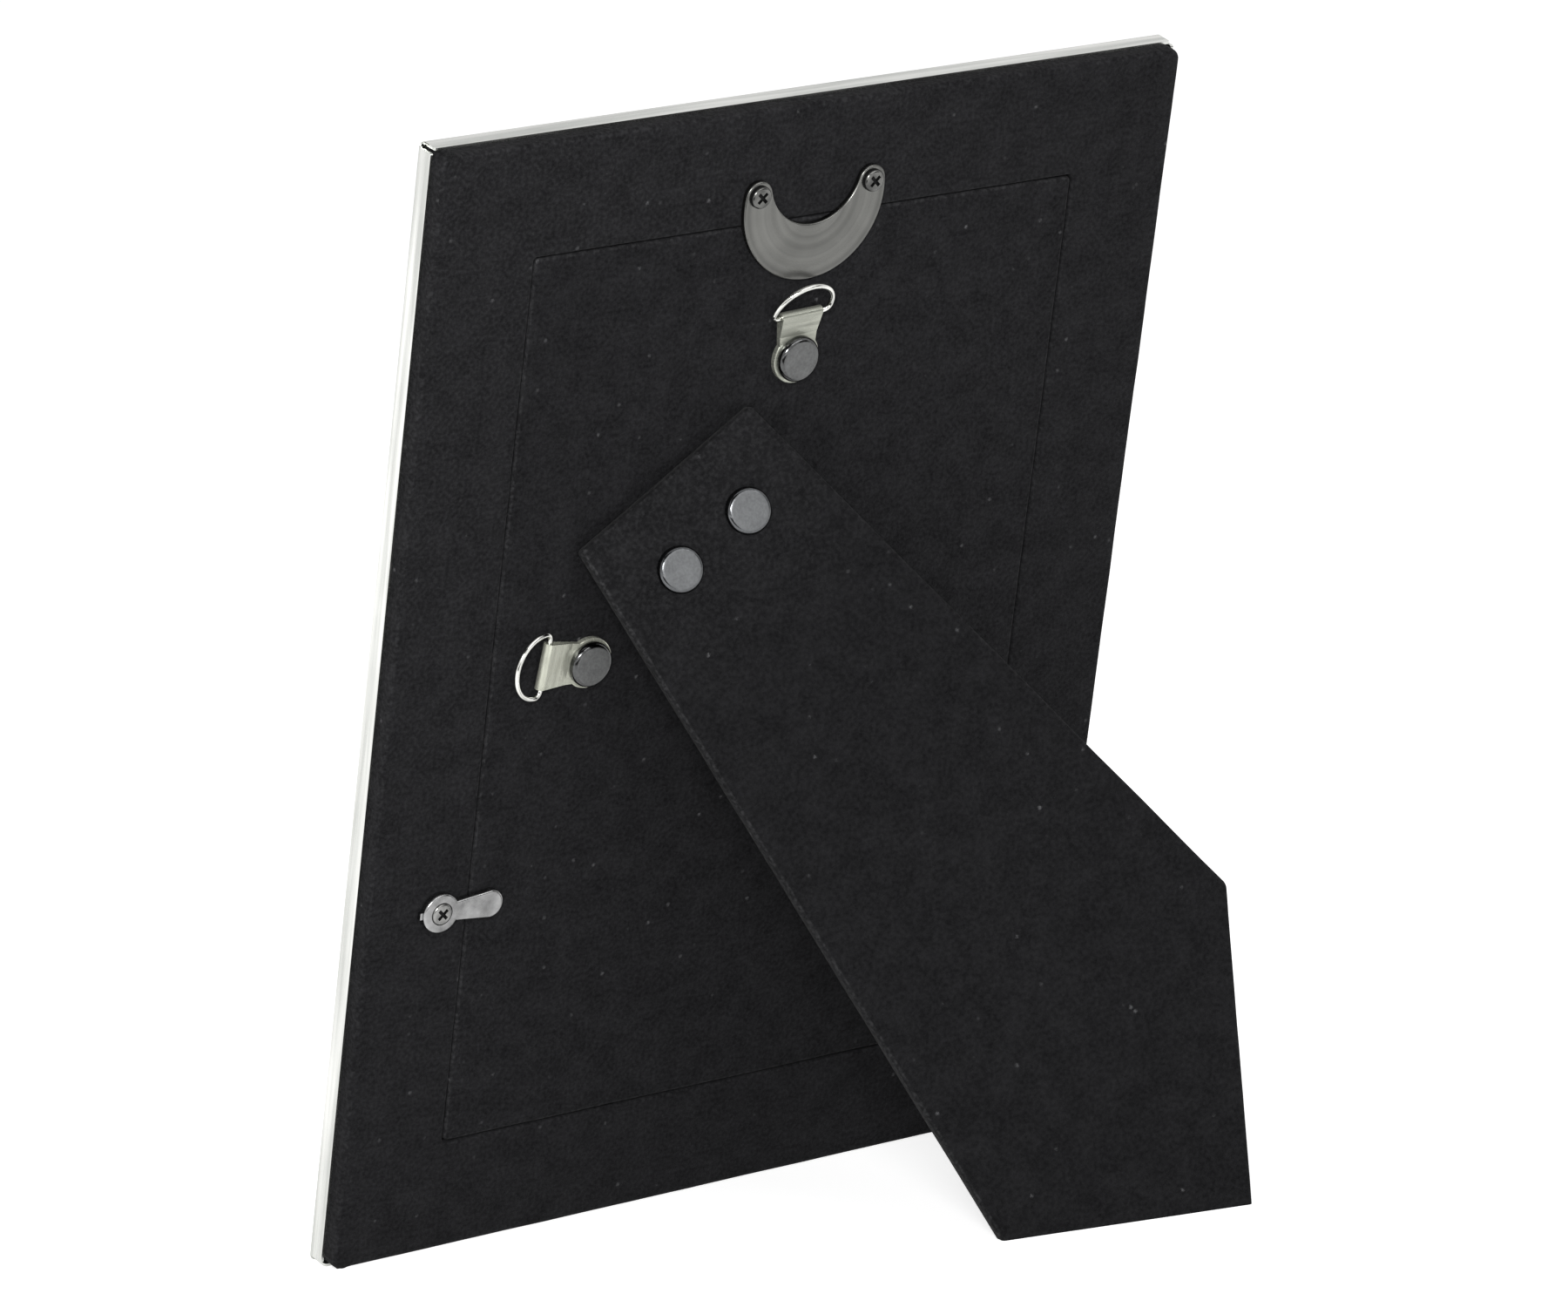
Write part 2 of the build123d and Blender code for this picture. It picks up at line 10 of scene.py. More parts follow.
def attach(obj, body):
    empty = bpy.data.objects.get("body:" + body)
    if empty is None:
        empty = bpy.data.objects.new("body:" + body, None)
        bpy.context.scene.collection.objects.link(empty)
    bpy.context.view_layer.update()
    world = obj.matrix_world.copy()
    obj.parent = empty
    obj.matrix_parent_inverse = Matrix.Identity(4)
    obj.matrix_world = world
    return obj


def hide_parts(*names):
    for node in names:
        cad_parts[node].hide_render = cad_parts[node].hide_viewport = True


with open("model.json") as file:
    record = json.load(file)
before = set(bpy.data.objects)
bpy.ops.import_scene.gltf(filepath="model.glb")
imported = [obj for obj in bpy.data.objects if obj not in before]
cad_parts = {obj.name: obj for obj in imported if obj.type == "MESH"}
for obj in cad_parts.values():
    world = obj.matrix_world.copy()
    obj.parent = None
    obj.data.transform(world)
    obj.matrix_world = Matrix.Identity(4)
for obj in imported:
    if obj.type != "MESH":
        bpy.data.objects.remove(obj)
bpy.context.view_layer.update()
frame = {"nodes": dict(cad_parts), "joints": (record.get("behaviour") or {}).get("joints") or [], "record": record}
nodes = frame["nodes"]
joints = {joint["name"]: joint for joint in frame["joints"]}

# Velvet back board, in metres
BOARD_WIDTH = 0.150
BOARD_HEIGHT = 0.200
BORDER = 0.020
BOARD_DEPTH = 0.0061
BOARD_CORNER = 0.0020
BOARD_EDGE = 0.0008
OPENING_CORNER = 0.0008
OPENING_EDGE = 0.0005

# Velvet panel in the opening
SEAM = 0.00028
PANEL_TOP = -0.0001
PANEL_DEPTH = 0.0030
PANEL_CORNER = 0.0010
PANEL_EDGE = 0.0006

# Glass pane behind the lip of the shell, clear of the lip and of the print by a hair
PANE_WIDTH = 0.1092
PANE_HEIGHT = 0.1592
PANE_LOW = -0.00605
PANE_HIGH = -0.00435
PANE_CORNER = 0.0008
PANE_EDGE = 0.00025
PANE_SMOOTH = radians(20)

# Easel leg, measured from its hinge axis
LEG_OFF = 0.0013
LEG_THICKNESS = 0.0028
LEG_TOP = 0.00479
LEG_TOP_HALF = 0.01905
LEG_REACH = 0.170
LEG_FLARE_LEFT = tan(radians(6.4))
LEG_FLARE_RIGHT = tan(radians(7.5))
LEG_END_REACH = 0.0909
LEG_TURN = radians(34.1)
LEG_CORNER = 0.0007
LEG_EDGE = 0.0006

# Cloth: thickness, mesh cell, width and height of its waves, and the angle up to which it shades smooth
CLOTH = 0.00038
CLOTH_CELL = 0.002
CLOTH_WAVE = 0.014
CLOTH_RISE = 0.00016
CLOTH_SMOOTH = radians(50)

# How much the pile is lightened, from 0 to 1: rubbed on the rims and near the leg's top, a painted highlight on
# the panel's rim, and lighter towards the board's upper left corner
BOARD_RIM_WORN = 0.05
BOARD_UPPER_LEFT_LIGHTER = 0.05
PANEL_RIM_HIGHLIGHT = 0.15
LEG_RIM_WORN = 0.05
LEG_LEFT_WORN = 0.22
LEG_LEFT_FADE = 0.10
LEG_TOP_WORN = 0.06
LEG_TOP_WORN_REACH = 0.035

# A rim is rubbed, and on the panel carries a painted highlight, between these two shares of its radius, counted
# down from the flat face
RIM_START = 0.02
RIM_END = 0.9

# The turn button's pivot lies this far across, up and off the back's lower middle
BUTTON_ACROSS = -0.0609
BUTTON_RISE = 0.0645
BUTTON_OFF = 0.0005

# Middle of the crescent above the back's lower edge, and the way that the hanger straps point
CRESCENT_RISE = 0.1833
HANGER_TURN_TOP = radians(92.5)
HANGER_TURN_SIDE = radians(173.5)

# Tops of the rivet caps and screws, above the back and above the leg's hinge axis
HANGER_CAP_TOP = 0.0023
LEG_CAP_TOP = 0.0054
CAP_ROUND = 0.00008
CRESCENT_SCREW_TOP = 0.0018
BUTTON_SCREW_TOP = 0.00165
# Depth below a screw's top over which its cross and foot are darkened by painted shade
SCREW_SHADE_DEPTH = 0.00035

# Front face of the shell, measured from the back, and its thickness
SHELL_FACE = -0.0066
SHELL_SHEET = 0.0005

# Colours of rubbed pile that also carries painted edge highlights, of lint, and of painted shade in screw recesses
RUBBED_AND_LIT_PILE = (0.105, 0.105, 0.108)
LINT = (0.085, 0.085, 0.088)
RECESS_SHADE = (0.02, 0.02, 0.02)

# Table, and how much of its white comes from itself where it is seen
TABLE_SIZE = 30
TABLE_GLOW = 0.64

# White surroundings: strength as light on the object, and where they are seen
SKY_LIGHT = 0.38
SKY_SEEN = 1.0

# Soft lamps: place, width, height and power
LAMPS = {
    "front_lamp": ((0.90, 1.18, 0.56), 0.5, 0.3, 20.0),
    "long_lamp": ((-0.21, 1.06, 0.87), 1.1, 0.16, 3.3),
    "face_lamp": ((0.70, -1.10, 0.75), 0.6, 0.6, 8.0),
}

# Dark cards that the metal mirrors: place, width and height
UPRIGHT_CARDS = {
    "dark_card_above": ((0.60, 0.60, 0.80), 0.9, 0.7),
    "dark_card_right": ((-0.53, 0.69, 0.31), 0.5, 0.4),
}
LYING_CARD = ((0.36, 0.42, 0.001), 0.55, 0.5)

# Camera: place, point aimed at, roll and lens, for an image of 1800 by 1500 pixels
CAMERA_PLACE = Vector((0.8613, 1.20237, 0.3810))
CAMERA_AIM = Vector((-0.01253, -0.02028, 0.09388))
CAMERA_ROLL = radians(-3.115)
SENSOR_WIDTH = 36.0
LENS = 207.1

# Two places nearer than this are one
TOUCH = 1e-6

# A face whose unit normal points up or down by more than this is flat
FLAT = 0.9


# Planes of the back and of the leg


def plane_matrix(right, up, out, origin):
    """Matrix that carries a piece drawn flat onto a plane of the object."""
    matrix = Matrix((right, up, out)).transposed().to_4x4()
    matrix.translation = origin
    return matrix


back_out = Vector(joints["button_left_turn"]["axis"]).normalized()
back_right = Vector((-1, 0, 0))
back_up = back_out.cross(back_right)
button_pivot = Vector(joints["button_left_turn"]["pos_m"])
back_foot = button_pivot - back_right * BUTTON_ACROSS - back_up * BUTTON_RISE - back_out * BUTTON_OFF
back_plane = plane_matrix(back_right, back_up, back_out, back_foot)
back_middle = plane_matrix(back_right, back_up, back_out, back_foot + back_up * BOARD_HEIGHT / 2)

leg_right = Vector(joints["leg_hinge"]["axis"]).normalized()
leg_open = radians(joints["leg_hinge"]["range_deg"][1])
leg_out = Quaternion(leg_right, -leg_open) @ back_out
leg_plane = plane_matrix(leg_right, leg_out.cross(leg_right), leg_out, Vector(joints["leg_hinge"]["pos_m"]))


# Modelling by hand


def clear_picks(kind):
    """Selects nothing, ready for faces or edges to be picked in object mode."""
    bpy.ops.object.mode_set(mode="EDIT")
    bpy.ops.mesh.select_mode(type=kind)
    bpy.ops.mesh.select_all(action="DESELECT")
    bpy.ops.object.mode_set(mode="OBJECT")


def pick_faces(piece, test):
    """Selects the faces whose middle and normal pass a test, and leaves the piece in edit mode."""
    clear_picks("FACE")
    for face in piece.data.polygons:
        face.select = test(face.center, face.normal)
    bpy.ops.object.mode_set(mode="EDIT")


def pick_edges(piece, test):
    """Selects the edges whose two ends pass a test, and leaves the piece in edit mode."""
    clear_picks("EDGE")
    points = piece.data.vertices
    for edge in piece.data.edges:
        edge.select = test(points[edge.vertices[0]].co, points[edge.vertices[1]].co)
    bpy.ops.object.mode_set(mode="EDIT")


def is_upright(start, end):
    """True for an edge that runs along the thickness of a flat piece."""
    return (start.xy - end.xy).length < TOUCH and abs(start.z - end.z) > TOUCH


def at_corner(width, height):
    """Test for the upright edges at the four corners of a rectangle around the origin."""

    def test(start, end):
        beside = abs(abs(start.x) - width / 2) < TOUCH
        return is_upright(start, end) and beside and abs(abs(start.y) - height / 2) < TOUCH

    return test


def pick_rim(piece, facing, test=lambda middle: True):
    """Selects the edges around the flat face that points up or down, where their middle passes a test."""
    pick_faces(piece, lambda middle, normal: normal.z * facing > FLAT)
    bpy.ops.mesh.region_to_loop()
    bpy.ops.object.mode_set(mode="OBJECT")
    points = piece.data.vertices
    for edge in piece.data.edges:
        middle = (points[edge.vertices[0]].co + points[edge.vertices[1]].co) / 2
        edge.select = edge.select and test(middle)
    bpy.ops.object.mode_set(mode="EDIT")


def round_edges(radius, steps):
    """Rounds the selected edges."""
    bpy.ops.mesh.bevel(offset=radius, segments=steps, affect="EDGES")


def plain_block(name, size, middle):
    """A block to start from."""
    bpy.ops.object.select_all(action="DESELECT")
    bpy.ops.mesh.primitive_cube_add(size=1)
    piece = bpy.context.object
    piece.name = name
    piece.scale = size
    piece.location = middle
    bpy.ops.object.transform_apply(location=True, scale=True)
    return piece


def lay_on(piece, plane, smooth, finish):
    """Lays a piece that was drawn flat on its plane of the object, and gives it its shading and finish."""
    bpy.ops.object.mode_set(mode="OBJECT")
    piece.matrix_world = plane
    bpy.ops.object.transform_apply(location=True, rotation=True, scale=True)
    bpy.ops.object.shade_smooth_by_angle(angle=smooth)
    piece.data.materials.append(finish)


def velvet_blank(name, width, height):
    """A flat grid of cloth, lying at the origin."""
    bpy.ops.object.select_all(action="DESELECT")
    bpy.ops.mesh.primitive_grid_add(
        x_subdivisions=round(width / CLOTH_CELL), y_subdivisions=round(height / CLOTH_CELL), size=1
    )
    piece = bpy.context.object
    piece.name = name
    piece.scale = (width, height, 1)
    bpy.ops.object.transform_apply(scale=True)
    return piece


def turn_down_edges(depth):
    """Folds the cloth down along all its free edges."""
    bpy.ops.mesh.select_mode(type="EDGE")
    bpy.ops.mesh.select_all(action="DESELECT")
    bpy.ops.mesh.select_non_manifold(
        extend=False, use_wire=False, use_multi_face=False, use_non_contiguous=False, use_verts=False
    )
    bpy.ops.mesh.extrude_edges_move(TRANSFORM_OT_translate={"value": (0, 0, -depth)})


def on_rim(point, radius):
    """True on the rounded rim below the flat face of a cloth."""
    return -RIM_END * radius < point.z < -RIM_START * radius


def mark_wear_and_highlight(piece, weight):
    """Stores on each point how much its pile is lightened by rubbing and by painted highlight."""
    bpy.ops.object.mode_set(mode="OBJECT")
    worn_and_lit = piece.data.attributes.new("worn_and_lit", "FLOAT", "POINT")
    for point, vertex in zip(worn_and_lit.data, piece.data.vertices):
        point.value = weight(vertex.co)


def finish_velvet(piece, plane, body, node, finish):
    """Gives the cloth its slight waves and its thickness, and lays it on its plane of the object."""
    bpy.ops.object.mode_set(mode="OBJECT")
    waves = bpy.data.textures.new(piece.name + "_waves", "CLOUDS")
    waves.noise_scale = CLOTH_WAVE
    swell = piece.modifiers.new("waves", "DISPLACE")
    swell.texture = waves
    swell.texture_coords = "LOCAL"
    swell.strength = CLOTH_RISE
    bpy.ops.object.modifier_apply(modifier=swell.name)
    wall = piece.modifiers.new("cloth", "SOLIDIFY")
    wall.thickness = CLOTH
    wall.offset = -1
    bpy.ops.object.modifier_apply(modifier=wall.name)
    lay_on(piece, plane, CLOTH_SMOOTH, finish)
    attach(piece, body)
    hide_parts(node)


# Shader building


def noise(tree, vector, scale, detail):
    """Soft noise; scale counts features per metre, as a number or as a socket."""
    node = tree.nodes.new("ShaderNodeTexNoise")
    node.inputs["Detail"].default_value = detail
    if isinstance(scale, (int, float)):
        node.inputs["Scale"].default_value = scale
    else:
        tree.links.new(scale, node.inputs["Scale"])
    tree.links.new(vector, node.inputs["Vector"])
    return node.outputs["Fac"]


def remap(tree, value, low, high, to_low=0.0, to_high=1.0):
    """Stretches a value from one range to another, and holds it there."""
    node = tree.nodes.new("ShaderNodeMapRange")
    for name, number in (("From Min", low), ("From Max", high), ("To Min", to_low), ("To Max", to_high)):
        node.inputs[name].default_value = number
    tree.links.new(value, node.inputs["Value"])
    return node.outputs["Result"]


def combine(tree, operation, first, second):
    """One math step on a socket and a socket or number."""
    node = tree.nodes.new("ShaderNodeMath")
    node.operation = operation
    tree.links.new(first, node.inputs[0])
    if isinstance(second, (int, float)):
        node.inputs[1].default_value = second
    else:
        tree.links.new(second, node.inputs[1])
    return node.outputs["Value"]


def blend_colour(tree, share, first, second):
    """Mixes a colour or socket with a second colour by a share."""
    node = tree.nodes.new("ShaderNodeMix")
    node.data_type = "RGBA"
    tree.links.new(share, node.inputs["Factor"])
    for socket, colour in ((node.inputs[6], first), (node.inputs[7], second)):
        if isinstance(colour, tuple):
            socket.default_value = (*colour, 1)
        else:
            tree.links.new(colour, socket)
    return node.outputs[2]


def place_on(tree, vector, plane=None, scale=(1, 1, 1)):
    """Coordinates stretched along their axes, or centred on, and turned with, a plane of the object."""
    node = tree.nodes.new("ShaderNodeMapping")
    node.vector_type = "TEXTURE"
    node.inputs["Scale"].default_value = scale
    if plane is not None:
        node.inputs["Location"].default_value = plane.translation
        node.inputs["Rotation"].default_value = plane.to_euler()
    tree.links.new(vector, node.inputs["Vector"])
    return node.outputs["Vector"]


def roughen(tree, shader, height, depth, strength):
    """Feeds a height into the shader's normal."""
    bump = tree.nodes.new("ShaderNodeBump")
    bump.inputs["Distance"].default_value = depth
    bump.inputs["Strength"].default_value = strength
    tree.links.new(height, bump.inputs["Height"])
    tree.links.new(bump.outputs["Normal"], shader.inputs["Normal"])


def new_group(name, scales, outputs):
    """An empty shader group: a place and scales go in, values come out."""
    group = bpy.data.node_groups.new(name, "ShaderNodeTree")
    group.interface.new_socket("Vector", in_out="INPUT", socket_type="NodeSocketVector")
    for socket in scales:
        group.interface.new_socket(socket, in_out="INPUT", socket_type="NodeSocketFloat")
    for socket in outputs:
        group.interface.new_socket(socket, in_out="OUTPUT", socket_type="NodeSocketFloat")
    return group, group.nodes.new("NodeGroupInput").outputs, group.nodes.new("NodeGroupOutput").inputs


def use_group(tree, group, vector, **values):
    """Places a group in a material with its own values."""
    node = tree.nodes.new("ShaderNodeGroup")
    node.node_tree = group
    tree.links.new(vector, node.inputs["Vector"])
    for name, value in values.items():
        node.inputs[name.replace("_", " ").title()].default_value = value
    return node.outputs


def new_material(name):
    """A material with its node tree, its shader and its object coordinates."""
    material = bpy.data.materials.new(name)
    material.use_nodes = True
    tree = material.node_tree
    place = tree.nodes.new("ShaderNodeTexCoord").outputs["Object"]
    return material, tree, tree.nodes["Principled BSDF"], place


def pile_group():
    """Short pile on a flat cloth: tufts, brushed patches and specks of lint."""
    group, given, result = new_group(
        "velvet_pile",
        ["Tuft Scale", "Lint Scale"],
        ["Shade", "Nap", "Patch", "Lint"],
    )
    tufts = noise(group, given["Vector"], given["Tuft Scale"], 4.0)
    grain = noise(group, given["Vector"], combine(group, "MULTIPLY", given["Tuft Scale"], 3.5), 2.0)
    patches = noise(group, given["Vector"], combine(group, "MULTIPLY", given["Tuft Scale"], 0.14), 4.0)
    clumps = combine(group, "MULTIPLY", remap(group, tufts, 0.32, 0.68), 0.48)
    fibres = combine(group, "MULTIPLY", remap(group, grain, 0.32, 0.68), 0.30)
    brushed = combine(group, "MULTIPLY", remap(group, patches, 0.35, 0.65), 0.22)
    group.links.new(combine(group, "ADD", combine(group, "ADD", clumps, fibres), brushed), result["Shade"])
    group.links.new(combine(group, "ADD", clumps, fibres), result["Nap"])
    group.links.new(remap(group, tufts, 0.46, 0.66), result["Patch"])
    specks = group.nodes.new("ShaderNodeTexVoronoi")
    group.links.new(given["Vector"], specks.inputs["Vector"])
    group.links.new(given["Lint Scale"], specks.inputs["Scale"])
    ragged = combine(group, "ADD", specks.outputs["Distance"], combine(group, "MULTIPLY", grain, 0.22))
    near = remap(group, ragged, 0.12, 0.21, 1.0, 0.0)
    chosen = group.nodes.new("ShaderNodeSeparateColor")
    group.links.new(specks.outputs["Color"], chosen.inputs["Color"])
    kept = remap(group, chosen.outputs["Red"], 0.3, 1.0)
    group.links.new(combine(group, "MULTIPLY", near, kept), result["Lint"])
    return group


def marks_group():
    """Handled metal: soft smudges and fine crossing scratches."""
    group, given, result = new_group(
        "handling_marks",
        ["Smudge Scale", "Scratch Scale"],
        ["Smudge", "Scratch"],
    )
    smudge = noise(group, given["Vector"], given["Smudge Scale"], 4.0)
    group.links.new(remap(group, smudge, 0.3, 0.7), result["Smudge"])
    long_place = place_on(group, given["Vector"], scale=(1, 12, 12))
    cross_place = place_on(group, given["Vector"], scale=(12, 12, 1))
    long_way = noise(group, long_place, given["Scratch Scale"], 3.0)
    cross_way = noise(group, cross_place, given["Scratch Scale"], 3.0)
    group.links.new(
        combine(group, "MAXIMUM", remap(group, long_way, 0.55, 0.75), remap(group, cross_way, 0.58, 0.78)),
        result["Scratch"],
    )
    return group


pile = pile_group()
marks = marks_group()


# Materials, one for each finish


def velvet(name, plane, dark, light):
    """Black velvet with a mottled pile, lint, and edges lightened by rubbing and by painted highlight."""
    material, tree, shader, place = new_material(name)
    cloth = use_group(tree, pile, place_on(tree, place, plane), tuft_scale=1400.0, lint_scale=240.0)
    colour = blend_colour(tree, cloth["Shade"], dark, light)
    # Rubbed pile, and on the panel's rim a painted highlight, lighten the colour where the points carry them
    rub_and_highlight = tree.nodes.new("ShaderNodeAttribute")
    rub_and_highlight.attribute_name = "worn_and_lit"
    patchy = remap(tree, cloth["Patch"], 0.0, 1.0, 0.25, 1.0)
    rub_and_highlight_share = combine(tree, "MULTIPLY", rub_and_highlight.outputs["Fac"], patchy)
    colour = blend_colour(tree, rub_and_highlight_share, colour, RUBBED_AND_LIT_PILE)
    colour = blend_colour(tree, cloth["Lint"], colour, LINT)
    tree.links.new(colour, shader.inputs["Base Color"])
    tree.links.new(remap(tree, cloth["Shade"], 0.0, 1.0, 0.98, 0.78), shader.inputs["Roughness"])
    shader.inputs["Specular IOR Level"].default_value = 0.10
    shader.inputs["Sheen Weight"].default_value = 0.02
    shader.inputs["Sheen Roughness"].default_value = 0.35
    roughen(tree, shader, cloth["Nap"], depth=0.0003, strength=0.4)
    return material


def plated(name, bright, dull, smooth, rough, smudge):
    """Plated metal between a bright and a dull tone, smudged and scratched by handling."""
    material, tree, shader, place = new_material(name)
    handled = use_group(tree, marks, place, smudge_scale=smudge, scratch_scale=260.0)
    colour = blend_colour(tree, handled["Smudge"], bright, dull)
    tree.links.new(colour, shader.inputs["Base Color"])
    scuffs = combine(tree, "MULTIPLY", handled["Scratch"], 0.35)
    matt = combine(tree, "MAXIMUM", handled["Smudge"], scuffs)
    tree.links.new(remap(tree, matt, 0.0, 1.0, smooth, rough), shader.inputs["Roughness"])
    shader.inputs["Metallic"].default_value = 1.0
    roughen(tree, shader, handled["Scratch"], depth=0.00004, strength=0.25)
    return material


def turned_crescent():
    """Grey metal with the faint uneven rings that the cutting tool left around the crescent's middle."""
    material, tree, shader, place = new_material("turned_crescent_metal")
    centre = plane_matrix(back_right, back_up, back_out, back_foot + back_up * CRESCENT_RISE)
    reach = tree.nodes.new("ShaderNodeVectorMath")
    reach.operation = "LENGTH"
    tree.links.new(place_on(tree, place, centre), reach.inputs[0])
    radius = tree.nodes.new("ShaderNodeCombineXYZ")
    tree.links.new(reach.outputs["Value"], radius.inputs["X"])
    rings = remap(tree, noise(tree, radius.outputs["Vector"], 420.0, 3.0), 0.34, 0.66)
    handled = use_group(tree, marks, place, smudge_scale=120.0, scratch_scale=300.0)
    tone = combine(tree, "MULTIPLY", rings, 0.65)
    tone = combine(tree, "ADD", tone, combine(tree, "MULTIPLY", handled["Smudge"], 0.35))
    colour = blend_colour(tree, tone, (0.186, 0.186, 0.176), (0.088, 0.088, 0.084))
    tree.links.new(colour, shader.inputs["Base Color"])
    tree.links.new(remap(tree, tone, 0.0, 1.0, 0.20, 0.36), shader.inputs["Roughness"])
    shader.inputs["Metallic"].default_value = 1.0
    roughen(tree, shader, rings, depth=0.00003, strength=0.3)
    return material


def height_on(tree, place, plane):
    """Height above a plane of the object."""
    level = tree.nodes.new("ShaderNodeSeparateXYZ")
    tree.links.new(place_on(tree, place, plane), level.inputs["Vector"])
    return level.outputs["Z"]


def rivet_cap(name, plane, top, pale, dark):
    """Rivet cap with a grainy satin disc inside a polished shoulder."""
    material, tree, shader, place = new_material(name)
    handled = use_group(tree, marks, place, smudge_scale=500.0, scratch_scale=700.0)
    disc = remap(tree, height_on(tree, place, plane), top - CAP_ROUND, top - 0.1 * CAP_ROUND)
    grain = remap(tree, noise(tree, place, 2200.0, 2.0), 0.35, 0.65)
    tone = combine(tree, "MULTIPLY", combine(tree, "ADD", handled["Smudge"], grain), 0.5)
    tree.links.new(blend_colour(tree, tone, pale, dark), shader.inputs["Base Color"])
    polish = remap(tree, handled["Smudge"], 0.0, 1.0, 0.10, 0.20)
    satin = combine(tree, "MULTIPLY", disc, 0.34)
    tree.links.new(combine(tree, "ADD", polish, satin), shader.inputs["Roughness"])
    tree.links.new(remap(tree, disc, 0.0, 1.0, 1.0, 0.2), shader.inputs["Metallic"])
    roughen(tree, shader, combine(tree, "MULTIPLY", grain, disc), depth=0.00005, strength=0.3)
    return material


def screw_metal(name, top, pale, dark):
    """Bright screw head with painted shade in its cross and around its foot."""
    material, tree, shader, place = new_material(name)
    handled = use_group(tree, marks, place, smudge_scale=600.0, scratch_scale=600.0)
    height = height_on(tree, place, back_plane)
    # Painted shade: the colour goes dark below the head's top, in the cross and around the foot
    recess_shade = remap(tree, height, top - SCREW_SHADE_DEPTH, top - 0.3 * SCREW_SHADE_DEPTH, 1.0, 0.0)
    colour = blend_colour(tree, handled["Smudge"], pale, dark)
    colour = blend_colour(tree, recess_shade, colour, RECESS_SHADE)
    tree.links.new(colour, shader.inputs["Base Color"])
    matt = combine(tree, "MAXIMUM", combine(tree, "MULTIPLY", handled["Smudge"], 0.3), recess_shade)
    tree.links.new(remap(tree, matt, 0.0, 1.0, 0.10, 0.7), shader.inputs["Roughness"])
    shader.inputs["Metallic"].default_value = 1.0
    roughen(tree, shader, handled["Scratch"], depth=0.00004, strength=0.25)
    return material


def shell_metal():
    """Bright shell with draw lines along its flanges, a brushed face, and dull clouds that are partly smudges and
    partly a painted reflection.
    """
    material, tree, shader, place = new_material("bright_shell_metal")
    flat_place = place_on(tree, place, back_middle)
    drawn = noise(tree, place_on(tree, flat_place, scale=(30, 30, 1)), 700.0, 3.0)
    brushed = noise(tree, place_on(tree, flat_place, scale=(60, 1, 60)), 1400.0, 3.0)
    face = remap(tree, height_on(tree, place, back_plane), SHELL_FACE, SHELL_FACE + SHELL_SHEET, 1.0, 0.0)
    handled = use_group(tree, marks, place, smudge_scale=40.0, scratch_scale=260.0)
    lines = combine(tree, "MULTIPLY", remap(tree, drawn, 0.35, 0.65), remap(tree, face, 0.0, 1.0, 0.6, 0.0))
    hairs = remap(tree, brushed, 0.3, 0.7)
    grain = combine(tree, "MULTIPLY", hairs, remap(tree, face, 0.0, 1.0, 0.0, 0.55))
    # Large dull clouds, stronger on the flanges: smudges, and a painted reflection of a grey band in the flanges
    smudge_and_reflection_cloud = combine(tree, "MULTIPLY", handled["Smudge"], remap(tree, face, 0.0, 1.0, 0.4, 0.12))
    tone = combine(tree, "ADD", combine(tree, "ADD", lines, grain), smudge_and_reflection_cloud)
    colour = blend_colour(tree, tone, (0.71, 0.71, 0.685), (0.41, 0.42, 0.40))
    tree.links.new(colour, shader.inputs["Base Color"])
    tree.links.new(remap(tree, tone, 0.0, 1.0, 0.12, 0.34), shader.inputs["Roughness"])
    shader.inputs["Metallic"].default_value = 1.0
    roughen(tree, shader, combine(tree, "ADD", lines, grain), depth=0.00003, strength=0.25)
    return material


def strap_metal(name, turn, pale, dark):
    """Warm bright strap with draw lines along its fold."""
    material, tree, shader, place = new_material(name)
    along = back_middle @ Matrix.Rotation(turn, 4, "Z")
    drawn = noise(tree, place_on(tree, place_on(tree, place, along), scale=(1, 14, 14)), 1100.0, 3.0)
    handled = use_group(tree, marks, place, smudge_scale=220.0, scratch_scale=400.0)
    tone = combine(tree, "MULTIPLY", remap(tree, drawn, 0.35, 0.65), 0.5)
    tone = combine(tree, "ADD", tone, combine(tree, "MULTIPLY", handled["Smudge"], 0.5))
    colour = blend_colour(tree, tone, pale, dark)
    tree.links.new(colour, shader.inputs["Base Color"])
    tree.links.new(remap(tree, tone, 0.0, 1.0, 0.20, 0.36), shader.inputs["Roughness"])
    tree.links.new(remap(tree, tone, 0.0, 1.0, 0.75, 0.35), shader.inputs["Metallic"])
    roughen(tree, shader, drawn, depth=0.00003, strength=0.3)
    return material


def fibrous(name, pale, dark, grain, matt):
    """Board, card or paper: fibres in two tones, without gloss."""
    material, tree, shader, place = new_material(name)
    coarse = noise(tree, place, grain, 5.0)
    fine = noise(tree, place, grain * 6, 2.0)
    tone = combine(tree, "MULTIPLY", combine(tree, "ADD", coarse, fine), 0.5)
    tone = remap(tree, tone, 0.35, 0.65)
    colour = blend_colour(tree, tone, pale, dark)
    tree.links.new(colour, shader.inputs["Base Color"])
    tree.links.new(remap(tree, tone, 0.0, 1.0, matt, 1.0), shader.inputs["Roughness"])
    shader.inputs["Specular IOR Level"].default_value = 0.3
    roughen(tree, shader, tone, depth=0.0001, strength=0.3)
    return material


